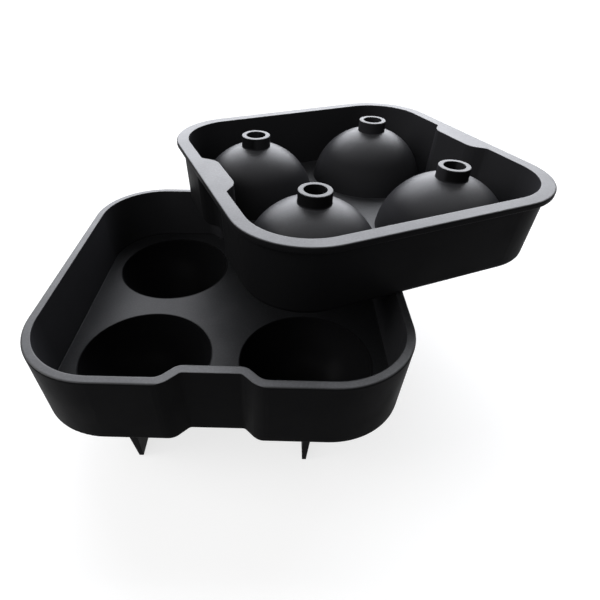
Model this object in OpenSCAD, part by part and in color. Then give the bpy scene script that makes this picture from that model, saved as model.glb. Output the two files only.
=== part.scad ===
// Two-part silicone mold that freezes four ice balls.
// The lower tray holds the bottom halves of the balls as bowls. The upper tray holds the top
// halves as domes, each with a fill spout, and closes into the lower tray floor to floor.
// Here the mold is open: the upper tray lies turned across a corner of the lower tray's rim.
// Heights inside each tray are measured from its floor, the plane where the half balls meet.

/* [Ice balls] */
// Diameter of each ice ball
ball_d = 45; // [38:1:50]
// Clear distance between neighbouring balls
ball_gap = 10; // [8:0.5:14]
// Silicone round each half ball
shell_t = 2; // [1.6:0.1:2.6]

/* [Walls] */
// Distance from the balls to the lower tray's wall, at the floor
ball_to_wall = 5.4; // [4.6:0.1:7]
// Draft of the side walls, in degrees
draft = 2.6; // [1:0.1:4]
// Corner radius outside the lower tray's rim
corner_r = 26; // [20:1:28]
// Thickness of each tray's floor
floor_t = 2.4; // [1.8:0.1:3]

/* [Lower tray] */
// Depth from the rim to the floor
tray_depth = 21.8; // [16:0.2:24]
// Thickness of the wall
rim_w = 2.8; // [2.4:0.1:3.6]
// How far the wall reaches below the floor
skirt_h = 3.8; // [3.4:0.2:8]
// Rounding of the rim's outer edge
rim_round = 0.6; // [0.3:0.1:0.9]
// Rounding of the wall's bottom edge
skirt_round = 1.1; // [0.5:0.1:1.1]

/* [Feet] */
// Thickness of a foot at the floor
foot_root_t = 3.2; // [2.4:0.1:4]
// Thickness of a foot's sole
foot_sole_t = 1.3; // [1:0.1:2]
// Length of a foot's sole
foot_l = 13; // [9:0.5:14]
// How far the toe stands back from the bowl's edge, seen from above
foot_inset = 1.7; // [1.5:0.1:4]
// Lean of the toe, in degrees
foot_lean = 9; // [8:1:12]
// Rounding of the toe
foot_round = 0.6; // [0.4:0.1:1.5]

/* [Grip recess] */
// Width of the recess between its inner corners
recess_w = 19; // [17:0.2:24]
// Depth of the recess
recess_depth = 4.65; // [4.3:0.05:6]
// Slope of the recess's sides, in degrees
recess_slope = 45; // [42:1:55]
// Tightest bend of either wall in the recess
recess_bend = 1.8; // [0.6:0.1:2]

/* [Upper tray] */
// Gap between the two walls when the mold is closed
fit_gap = 0.35; // [0.3:0.05:0.8]
// Thickness of the wall
lid_wall_t = 2.6; // [1.6:0.1:2.8]
// Rounding of the wall's bottom edge, as far as the domes leave room for it
lid_round = 2.4; // [1:0.1:2.6]
// Finger gap between rim and flange when the mold is closed
flange_gap = 2.7; // [2:0.1:6]
// Thickness of the flange
flange_t = 2.2; // [1.6:0.1:3]
// How far the flange stands out from the wall
flange_w = 2.4; // [2:0.1:5]
// Rounding of the flange's outer edges
flange_round = 0.6; // [0.3:0.1:0.7]

/* [Spouts] */
// Outer diameter of a fill spout
spout_d = 11.6; // [10.4:0.2:14]
// Diameter of the fill hole
spout_hole_d = 7.8; // [6:0.2:9]
// How far a spout stands above its dome
spout_h = 3.8; // [2.5:0.1:7]
// Rounding of the spout's lip
spout_round = 0.4; // [0.2:0.1:0.6]

/* [Open mold] */
// Where the upper tray's middle lies, to the right of the lower tray's middle
lay_x = 43.5; // [38:0.5:46]
// Where the upper tray's middle lies, behind the lower tray's middle
lay_y = 35.3; // [33:0.1:42]
// How far the upper tray is turned from the way it closes, in degrees
lay_turn = -66.9; // [-75:0.1:-55]
// Air between the upper tray and the rim that it lies on
lay_gap = 0.3; // [0.2:0.05:0.5]

/* [Hidden] */
$fn = 96;

ball_r = ball_d / 2;
shell_r = ball_r + shell_t;
pitch = ball_d + ball_gap;
lean = tan(draft);

// How far a cutter runs past the face that it opens
over = 1;

// Upper tray, from its floor to the top of its flange
lid_h = tray_depth + flange_gap + flange_t;

// The base line is the lower wall's inner face at the floor. Every other wall face is that line
// moved outward by its own offset, so the two trays keep one gap all the way round.
// Corner centres sit on a grid of a hundredth, so that the pieces of a wall meet exactly.
base_half = pitch / 2 + ball_r + ball_to_wall;
corner_c = round(100 * (base_half + rim_w + tray_depth * lean - corner_r)) / 100;
lid_out = -fit_gap;
lid_in = lid_out - lid_wall_t;
lid_edge = min(lid_round, ball_to_wall - fit_gap - shell_t);

// A bend crosses its two edges at a slight angle, so that they always meet in a point
crossing = 6;

// Recess on the base line: x runs along the wall and y runs inward from it.
// Its mouth leaves the wall at a slight angle, and a strip of that slope is left on every face.
// The tightest bends are on the far faces.
runout = 8;
mouth_strip = 0.4;
wing = 12;
mouth_tan = tan((recess_slope - runout) / 2);
mouth_r = recess_bend - lid_in;
inner_r = recess_bend + rim_w;
mouth_end = recess_bend * (cos(crossing) * mouth_tan - sin(crossing));
mouth_y = sin(runout) * (mouth_strip + mouth_end)
    - lid_in * (1 - cos(runout) + mouth_tan * sin(runout));
inner_x = recess_w / 2;
mouth_x = inner_x + (recess_depth - mouth_y) / tan(recess_slope);
wing_x = mouth_x + wing;
wing_y = mouth_y - wing * tan(runout);

// A foot along its length, from the middle of its bowl
foot_toe = shell_r - foot_inset;
foot_heel = foot_toe - foot_l;
foot_top = foot_toe + (shell_r - floor_t / 2) * tan(foot_lean);
flange_half = wall_half(lid_out, lid_h - flange_t) + flange_w;

// Heights above the table: the bowls stand on it
floor_z = shell_r;
lay_z = floor_z + tray_depth + lay_gap;

// Middle of everything, seen from above
reach = corner_c * (abs(cos(lay_turn)) + abs(sin(lay_turn))) + flange_half - corner_c;
rim_half = wall_half(rim_w, tray_depth);
mid_x = (min(-rim_half, lay_x - reach) + max(rim_half, lay_x + reach)) / 2;
mid_y = (min(-rim_half, lay_y - reach) + max(rim_half, lay_y + reach)) / 2;

// Half width of the wall face at offset t from the base line, at height z above the floor
function wall_half(t, z) = base_half + t + z * lean;

// Outlines are lists of corners [x, y, bend radius], counterclockwise.

// The recess on the base line, closed outside the wall
recess_line = [
    [-wing_x, wing_y - wing, 0],
    [wing_x, wing_y - wing, 0],
    [wing_x, wing_y, 0],
    [mouth_x, mouth_y, mouth_r],
    [inner_x, recess_depth, inner_r],
    [-inner_x, recess_depth, inner_r],
    [-mouth_x, mouth_y, mouth_r],
    [-wing_x, wing_y, 0]
];

function xy(p) = [p[0], p[1]];
function dir(a) = [cos(a), sin(a)];
function corner(o, i) = o[(i + len(o)) % len(o)];

// Direction of the edge that leaves corner i, and the turn made there (left is positive)
function heading(o, i) =
    let (d = xy(corner(o, i + 1)) - xy(corner(o, i))) atan2(d[1], d[0]);
function turn(o, i) =
    let (t = heading(o, i) - heading(o, i - 1)) t - 360 * round(t / 360);

// Centre of the bend at corner i
function bend_centre(o, i) =
    let (t = turn(o, i), gap = corner(o, i)[2] * cos(crossing) / cos(t / 2))
    xy(corner(o, i)) + sign(t) * gap * dir(heading(o, i - 1) + t / 2 + 90);

// The same outline moved outward by t, with its sharp corners kept sharp
function moved_out(o, t) = [
    for (i = [0 : len(o) - 1])
        let (h = heading(o, i - 1), b = turn(o, i))
        let (p = xy(o[i]) + t * (dir(h - 90) + tan(b / 2) * dir(h)))
        [p[0], p[1], o[i][2] > 0 ? o[i][2] + sign(b) * t : 0]
];

// The chip between the bend at corner i and the corner itself
module chip(o, i) {
    r = o[i][2];
    t = turn(o, i);
    h = heading(o, i - 1) - 90 * sign(t);
    c = bend_centre(o, i);
    difference() {
        polygon([
            c,
            c + 5 / 4 * r * dir(h),
            xy(o[i]) + r * dir(h + t / 2),
            c + 5 / 4 * r * dir(h + t)
        ]);
        translate(c)
            circle(r);
    }
}

// Filled outline with true arcs at its bends
module filled(o) {
    last = len(o) - 1;
    difference() {
        polygon([for (p = o) xy(p)]);
        for (i = [0 : last])
            if (o[i][2] > 0 && turn(o, i) > 0)
                chip(o, i);
    }
    for (i = [0 : last])
        if (o[i][2] > 0 && turn(o, i) < 0)
            chip(o, i);
}

// Square block with round corners, from half width h0 at height z0 to h1 at z1.
// r0 and r1 round its bottom and top edges.
module round_block(h0, z0, r0, h1, z1, r1) {
    profile = [[0, z0, 0], [h0 - corner_c, z0, r0], [h1 - corner_c, z1, r1], [0, z1, 0]];
    for (a = [0 : 90 : 270])
        rotate(a)
            translate([corner_c, corner_c, 0]) {
                rotate_extrude(angle = 90)
                    filled(profile);
                rotate([90, 0, 0])
                    linear_extrude(2 * corner_c)
                        filled(profile);
            }
    translate([-corner_c, -corner_c, z0])
        cube([2 * corner_c, 2 * corner_c, z1 - z0]);
}

// Everything inside the leaning wall face at offset t, between two heights, with both recesses
module inside_wall(t, z0, r0, z1, r1) {
    difference() {
        round_block(wall_half(t, z0), z0, r0, wall_half(t, z1), z1, r1);
        for (a = [0, 180])
            rotate(a)
                translate([0, -base_half, 0])
                    rotate([draft, 0, 0])
                        linear_extrude(4 * lid_h, center = true)
                            filled(moved_out(recess_line, -t));
    }
}

// Repeats its children at the four ball centres
module at_balls() {
    for (x = [-1, 1], y = [-1, 1])
        translate([x * pitch / 2, y * pitch / 2, 0])
            children();
}

// Half ball of radius r, above the floor plane or below it
module half_ball(r, up) {
    rotate_extrude()
        intersection() {
            circle(r);
            translate([0, up ? 0 : -r])
                square(r);
        }
}

// Thin rib under a bowl. Its sole is level with the bowl's bottom, its toe stands out towards
// the wall, and its two sides taper downward.
module foot() {
    intersection() {
        rotate([90, 0, 90])
            linear_extrude(2 * foot_root_t, center = true)
                filled([
                    [foot_heel, -shell_r, 0],
                    [foot_toe, -shell_r, foot_round],
                    [foot_top, -floor_t / 2, 0],
                    [foot_heel, -floor_t / 2, 0]
                ]);
        rotate([90, 0, 0])
            linear_extrude(4 * shell_r, center = true)
                polygon([
                    [-foot_sole_t / 2, -shell_r],
                    [foot_sole_t / 2, -shell_r],
                    [foot_root_t / 2, -floor_t / 2],
                    [-foot_root_t / 2, -floor_t / 2]
                ]);
    }
}

module lower_tray() {
    color("dimgray")
        translate([-mid_x, -mid_y, floor_z])
            difference() {
                union() {
                    difference() {
                        inside_wall(rim_w, -skirt_h, skirt_round, tray_depth, rim_round);
                        inside_wall(0, 0, 0, tray_depth + over, 0);
                        inside_wall(0, -skirt_h - over, 0, -floor_t, 0);
                    }
                    at_balls()
                        half_ball(shell_r, false);
                    for (x = [-1, 1], a = [0, 180])
                        rotate(a)
                            translate([x * pitch / 2, pitch / 2, 0])
                                foot();
                }
                at_balls()
                    sphere(ball_r);
            }
}

// Fill spout: a short tube that stands on the top of a dome
module spout() {
    rotate_extrude()
        filled([
            [0, ball_r, 0],
            [spout_d / 2, ball_r, 0],
            [spout_d / 2, shell_r + spout_h, spout_round],
            [0, shell_r + spout_h, 0]
        ]);
}

// The flange is straight outside and follows the wall inside, so it makes two grip tabs
module upper_tray() {
    color("gray")
        translate([lay_x - mid_x, lay_y - mid_y, lay_z])
            rotate(lay_turn)
                difference() {
                    union() {
                        difference() {
                            union() {
                                inside_wall(lid_out, 0, lid_edge, lid_h, 0);
                                round_block(
                                    flange_half, lid_h - flange_t, flange_round,
                                    flange_half, lid_h, flange_round
                                );
                            }
                            inside_wall(lid_in, floor_t, 0, lid_h + over, 0);
                        }
                        at_balls()
                            half_ball(shell_r, true);
                        at_balls()
                            spout();
                    }
                    at_balls()
                        sphere(ball_r);
                    at_balls()
                        cylinder(d = spout_hole_d, h = 2 * shell_r);
                }
}

lower_tray();
upper_tray();
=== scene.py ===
import math

import bpy
from mathutils import Matrix, Vector

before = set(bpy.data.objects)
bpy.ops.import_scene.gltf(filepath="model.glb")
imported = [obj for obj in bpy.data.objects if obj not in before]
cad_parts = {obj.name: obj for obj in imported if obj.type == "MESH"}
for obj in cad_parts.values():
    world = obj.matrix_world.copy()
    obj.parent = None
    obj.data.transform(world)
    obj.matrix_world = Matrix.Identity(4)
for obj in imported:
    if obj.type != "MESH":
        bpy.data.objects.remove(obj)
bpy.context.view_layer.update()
scene = bpy.context.scene
scene.view_settings.view_transform = "Standard"


def linear(hexColour):
    # sRGB hex to linear RGBA
    parts = [int(hexColour[i:i + 2], 16) / 255 for i in (1, 3, 5)]
    return [c / 12.92 if c <= 0.04045 else ((c + 0.055) / 1.055) ** 2.4 for c in parts] + [1.0]


def addNode(tree, kind, settings=None, inputs=None):
    # an input is a value, a socket to link from, or a node, which gives its first output
    node = tree.nodes.new(kind)
    for name, value in (settings or {}).items():
        setattr(node, name, value)
    for name, value in (inputs or {}).items():
        if isinstance(value, bpy.types.Node):
            value = value.outputs[0]
        if isinstance(value, bpy.types.NodeSocket):
            tree.links.new(value, node.inputs[name])
        else:
            node.inputs[name].default_value = value
    return node


# Where the camera stands and how it is turned, in metres and degrees; its shift only frames the view
cameraSet = {
    "eye": (-0.00916, -0.16159, 0.13894), "heading": 1.271, "pitch": -38.417, "roll": 0.379,
    "lens": 27.66, "sensor": 36.0, "shift": 0.0512, "nearest": 0.005,
}


def placeCamera(s):
    data = bpy.data.cameras.new("camera")
    data.lens = s["lens"]
    data.sensor_width = s["sensor"]
    data.shift_x = s["shift"]
    data.clip_start = s["nearest"]
    camera = bpy.data.objects.new("camera", data)
    turn = (Matrix.Rotation(math.radians(s["heading"]), 4, "Z")
            @ Matrix.Rotation(math.radians(90 + s["pitch"]), 4, "X")
            @ Matrix.Rotation(math.radians(s["roll"]), 4, "Z"))
    camera.matrix_world = Matrix.Translation(s["eye"]) @ turn
    scene.collection.objects.link(camera)
    scene.camera = camera


placeCamera(cameraSet)
print("camera placed")


def seenAs(tree, plain, shown):
    # the camera, shine and glass see the shown shader, and all other light meets the plain one
    path = addNode(tree, "ShaderNodeLightPath")
    for ray in ("Is Camera Ray", "Is Glossy Ray", "Is Transmission Ray"):
        plain = addNode(tree, "ShaderNodeMixShader", None, {0: path.outputs[ray], 1: plain, 2: shown})
    return plain


floorSet = {"half": 4.0, "colour": "#a8a8a8", "glow": 0.74}


def makeFloor(s):
    # a flat square round the origin
    h = s["half"]
    mesh = bpy.data.meshes.new("floor")
    mesh.from_pydata([(-h, -h, 0), (h, -h, 0), (h, h, 0), (-h, h, 0)], [], [(0, 1, 2, 3)])
    floor = bpy.data.objects.new("floor", mesh)
    scene.collection.objects.link(floor)
    # white paper: it takes shadows, and glows a little to the camera and in reflections
    material = bpy.data.materials.new("white paper floor")
    material.use_nodes = True
    tree = material.node_tree
    tree.nodes.clear()
    paper = addNode(tree, "ShaderNodeBsdfDiffuse", None, {"Color": linear(s["colour"])})
    glow = addNode(tree, "ShaderNodeEmission", None, {"Strength": s["glow"]})
    shown = addNode(tree, "ShaderNodeAddShader", None, {0: paper, 1: glow})
    addNode(tree, "ShaderNodeOutputMaterial", None, {"Surface": seenAs(tree, paper, shown)})
    mesh.materials.append(material)


makeFloor(floorSet)
print("floor laid")

# Soft panels; the low one behind is what the faces that look up mirror to the camera
lampSet = {
    "backPanel": {"at": (0, 1.25, 0.85), "size": (2.2, 1.5), "watts": 59.0, "colour": "#f6f8ff"},
    "leftPanel": {"at": (-1.25, -0.20, 0.75), "size": (0.8, 0.8), "watts": 9.5, "colour": "#ffffff"},
    "frontPanel": {"at": (-0.45, -1.10, 0.95), "size": (1.2, 0.8), "watts": 3.5, "colour": "#ffffff"},
}
lampAim = (0, 0, 0.05)


def placeLamps(lamps, aim):
    for name, s in lamps.items():
        data = bpy.data.lights.new(name, "AREA")
        data.shape = "RECTANGLE"
        data.size, data.size_y = s["size"]
        data.energy = s["watts"]
        data.color = linear(s["colour"])[:3]
        lamp = bpy.data.objects.new(name, data)
        turn = (Vector(s["at"]) - Vector(aim)).to_track_quat("Z", "Y").to_matrix().to_4x4()
        lamp.matrix_world = Matrix.Translation(s["at"]) @ turn
        scene.collection.objects.link(lamp)


placeLamps(lampSet, lampAim)

wallSet = {"colour": "#ffffff", "light": 0.20, "shown": 0.70}


def makeWalls(s):
    # the white walls of the studio, dimmer as light than they look
    world = bpy.data.worlds.new("studio walls")
    world.use_nodes = True
    tree = world.node_tree
    tree.nodes.clear()
    light, shown = [addNode(tree, "ShaderNodeBackground", None,
                            {"Color": linear(s["colour"]), "Strength": s[level]}) for level in ("light", "shown")]
    addNode(tree, "ShaderNodeOutputWorld", None, {"Surface": seenAs(tree, light, shown)})
    scene.world = world


makeWalls(wallSet)
print("lamps placed")

# Black silicone rubber, press-moulded: matte black walls, and on the faces that look up a coat, a thin film of dust
# and dried water, with a painted pale sheen in their colour. The insides and the domes are painted a little greyer,
# as painted fill light. The half-round hollows are polished and get neither. Sizes are in mm; specks and grain are
# drawn coarser than real ones, to show.
siliconeSet = {
    "colour": "#151516", "paintedFill": "#2a2a2c", "dustAndSheen": "#2e2f32",
    "shine": 0.01, "roughness": (0.40, 0.56), "polish": 0.30, "soften": 0.45,
    "film": (0.80, 1.0), "filmRoughness": 0.47, "filmStarts": 0.55,   # it starts where a face looks up this far
    "cloud": 14.0, "cloudRange": (0.3, 0.7),
    "speck": 0.7, "speckRange": (0.45, 0.75), "speckLeast": 0.3,
    "paintedFillRange": (2.0, 14.0), "paintedFillHeight": 1.0,
    "wave": {"size": 11.0, "detail": 1.0, "depth": 0.4, "strength": 0.25},
    "grain": {"size": 0.5, "detail": 2.0, "depth": 0.1, "strength": 0.18},
}
# Where each tray's floor has its middle, in mm, how far the tray is turned, and how much film its floor keeps:
# the lower one keeps half, as painted shade under the upper tray, up to the heights given
traySet = {
    "lower_tray": {"middle": (-26.62, -22.52, 24.5), "turn": 0.0, "floorFilmShade": 0.5, "floorShadeHeights": (2.0, 12.0)},
    "upper_tray": {"middle": (16.88, 12.78, 46.6), "turn": -66.9, "floorFilmShade": 1.0, "floorShadeHeights": (2.0, 12.0)},
}
# The half-round hollows: how far each way from the middle they are, their radius, how far past it the clean face
# ends, and where their domes end outside, in mm
hollowSet = {"fromMiddle": 27.5, "radius": 22.5, "edge": (0.2, 0.6), "shell": (24.7, 25.2)}


def makeSilicone(name, s, tray, hollow):
    material = bpy.data.materials.new(name)
    material.use_nodes = True
    tree = material.node_tree
    shader = tree.nodes["Principled BSDF"]
    place = addNode(tree, "ShaderNodeTexCoord").outputs["Object"]
    soft = addNode(tree, "ShaderNodeBevel", {"samples": 8}, {"Radius": s["soften"] / 1000})
    middle = [v / 1000 for v in tray["middle"]]
    # distance from the nearest hollow's centre: the tray is folded twice, so that one hollow stands for four
    square = addNode(tree, "ShaderNodeMapping", {"vector_type": "TEXTURE"},
                     {"Vector": place, "Location": middle, "Rotation": (0, 0, math.radians(tray["turn"]))})
    folded = addNode(tree, "ShaderNodeVectorMath", {"operation": "ABSOLUTE"}, {0: square})
    away = hollow["fromMiddle"] / 1000
    near = addNode(tree, "ShaderNodeVectorMath", {"operation": "DISTANCE"}, {0: folded, 1: (away, away, 0)})
    edge = [(hollow["radius"] + past) / 1000 for past in hollow["edge"]]
    outside = addNode(tree, "ShaderNodeMapRange", None,
                      {"Value": near.outputs["Value"], "From Min": edge[0], "From Max": edge[1]})
    # how much of the film is kept at each height over the floor; what is taken off is painted shade on the lower
    # tray's floor
    height = addNode(tree, "ShaderNodeSeparateXYZ", None, {0: square}).outputs["Z"]
    floorShade = addNode(tree, "ShaderNodeMapRange", None,
                     {"Value": height, "From Min": tray["floorShadeHeights"][0] / 1000, "From Max": tray["floorShadeHeights"][1] / 1000,
                      "To Min": tray["floorFilmShade"]})
    kept = addNode(tree, "ShaderNodeMath", {"operation": "MULTIPLY"}, {0: outside, 1: floorShade})
    # the film: how far a face looks up, broken into clouds; it sets the coat, and the painted sheen in the colour
    up = addNode(tree, "ShaderNodeSeparateXYZ", None, {0: soft}).outputs["Z"]
    facing = addNode(tree, "ShaderNodeMapRange", {"interpolation_type": "SMOOTHSTEP"},
                     {"Value": up, "From Min": s["filmStarts"], "From Max": 1.0, "To Max": kept})
    cloud = addNode(tree, "ShaderNodeTexNoise", None,
                    {"Vector": place, "Scale": 1000 / s["cloud"], "Detail": 5.0, "Roughness": 0.6})
    clouded = {"Value": cloud, "From Min": s["cloudRange"][0], "From Max": s["cloudRange"][1]}
    patchy = addNode(tree, "ShaderNodeMapRange", None,
                     {**clouded, "To Min": s["film"][0], "To Max": s["film"][1]})
    film = addNode(tree, "ShaderNodeMath", {"operation": "MULTIPLY"}, {0: facing, 1: patchy})
    # specks of dust, on the film alone; with the film they give the dust and the painted pale sheen in the colour
    specks = addNode(tree, "ShaderNodeTexNoise", None,
                     {"Vector": place, "Scale": 1000 / s["speck"], "Detail": 2.0})
    dust = addNode(tree, "ShaderNodeMapRange", None,
                   {"Value": specks, "From Min": s["speckRange"][0], "From Max": s["speckRange"][1],
                    "To Min": s["speckLeast"], "To Max": 1.0})
    dustAndSheenMask = addNode(tree, "ShaderNodeMath", {"operation": "MULTIPLY"}, {0: film, 1: dust})
    # painted fill light on the insides, above the floor: the domes, and the walls that look towards the tray's middle
    inwards = addNode(tree, "ShaderNodeVectorMath", {"operation": "SUBTRACT"}, {0: middle, 1: place})
    towards = addNode(tree, "ShaderNodeVectorMath", {"operation": "DOT_PRODUCT"}, {0: inwards, 1: soft})
    above = addNode(tree, "ShaderNodeMapRange", None,
                    {"Value": height, "From Max": s["paintedFillHeight"] / 1000, "To Max": outside})
    wall = addNode(tree, "ShaderNodeMapRange", {"interpolation_type": "SMOOTHSTEP"},
                   {"Value": towards.outputs["Value"], "From Min": s["paintedFillRange"][0] / 1000,
                    "From Max": s["paintedFillRange"][1] / 1000})
    dome = addNode(tree, "ShaderNodeMapRange", None,
                   {"Value": near.outputs["Value"], "From Min": hollow["shell"][0] / 1000,
                    "From Max": hollow["shell"][1] / 1000, "To Min": 1.0, "To Max": 0.0})
    either = addNode(tree, "ShaderNodeMath", {"operation": "MAXIMUM"}, {0: wall, 1: dome})
    paintedFillMask = addNode(tree, "ShaderNodeMath", {"operation": "MULTIPLY"}, {0: either, 1: above})
    # painted fill light: the insides and domes get a lighter colour; then dust and a painted pale sheen lighten the
    # faces that look up
    inside = addNode(tree, "ShaderNodeMix", {"data_type": "RGBA"},
                     {"Factor": paintedFillMask, "A": linear(s["colour"]), "B": linear(s["paintedFill"])})
    tint = addNode(tree, "ShaderNodeMix", {"data_type": "RGBA"},
                   {"Factor": dustAndSheenMask, "A": inside.outputs[2], "B": linear(s["dustAndSheen"])})
    # fine moulded grain over the slow waves of a flexible wall
    relief = soft
    for part in (s["wave"], s["grain"]):
        noise = addNode(tree, "ShaderNodeTexNoise", None,
                        {"Vector": place, "Scale": 1000 / part["size"], "Detail": part["detail"]})
        relief = addNode(tree, "ShaderNodeBump", None,
                         {"Strength": part["strength"], "Distance": part["depth"] / 1000,
                          "Height": noise, "Normal": relief})
    # clouds in the roughness too, and a smoother finish in the hollows
    matte = addNode(tree, "ShaderNodeMapRange", None,
                    {**clouded, "To Min": s["roughness"][0], "To Max": s["roughness"][1]})
    rough = addNode(tree, "ShaderNodeMapRange", None, {"Value": outside, "To Min": s["polish"], "To Max": matte})
    shader.inputs["Specular IOR Level"].default_value = s["shine"]
    shader.inputs["Coat Roughness"].default_value = s["filmRoughness"]
    for socket, out in (("Base Color", tint.outputs[2]), ("Coat Weight", film.outputs[0]),
                        ("Roughness", rough.outputs[0]), ("Normal", relief.outputs[0]),
                        ("Coat Normal", relief.outputs[0])):
        tree.links.new(out, shader.inputs[socket])
    return material


for name, tray in traySet.items():
    silicone = makeSilicone("black silicone of the " + name.replace("_", " "), siliconeSet, tray, hollowSet)
    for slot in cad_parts[name].material_slots:
        slot.material = silicone
print("silicone on both trays")
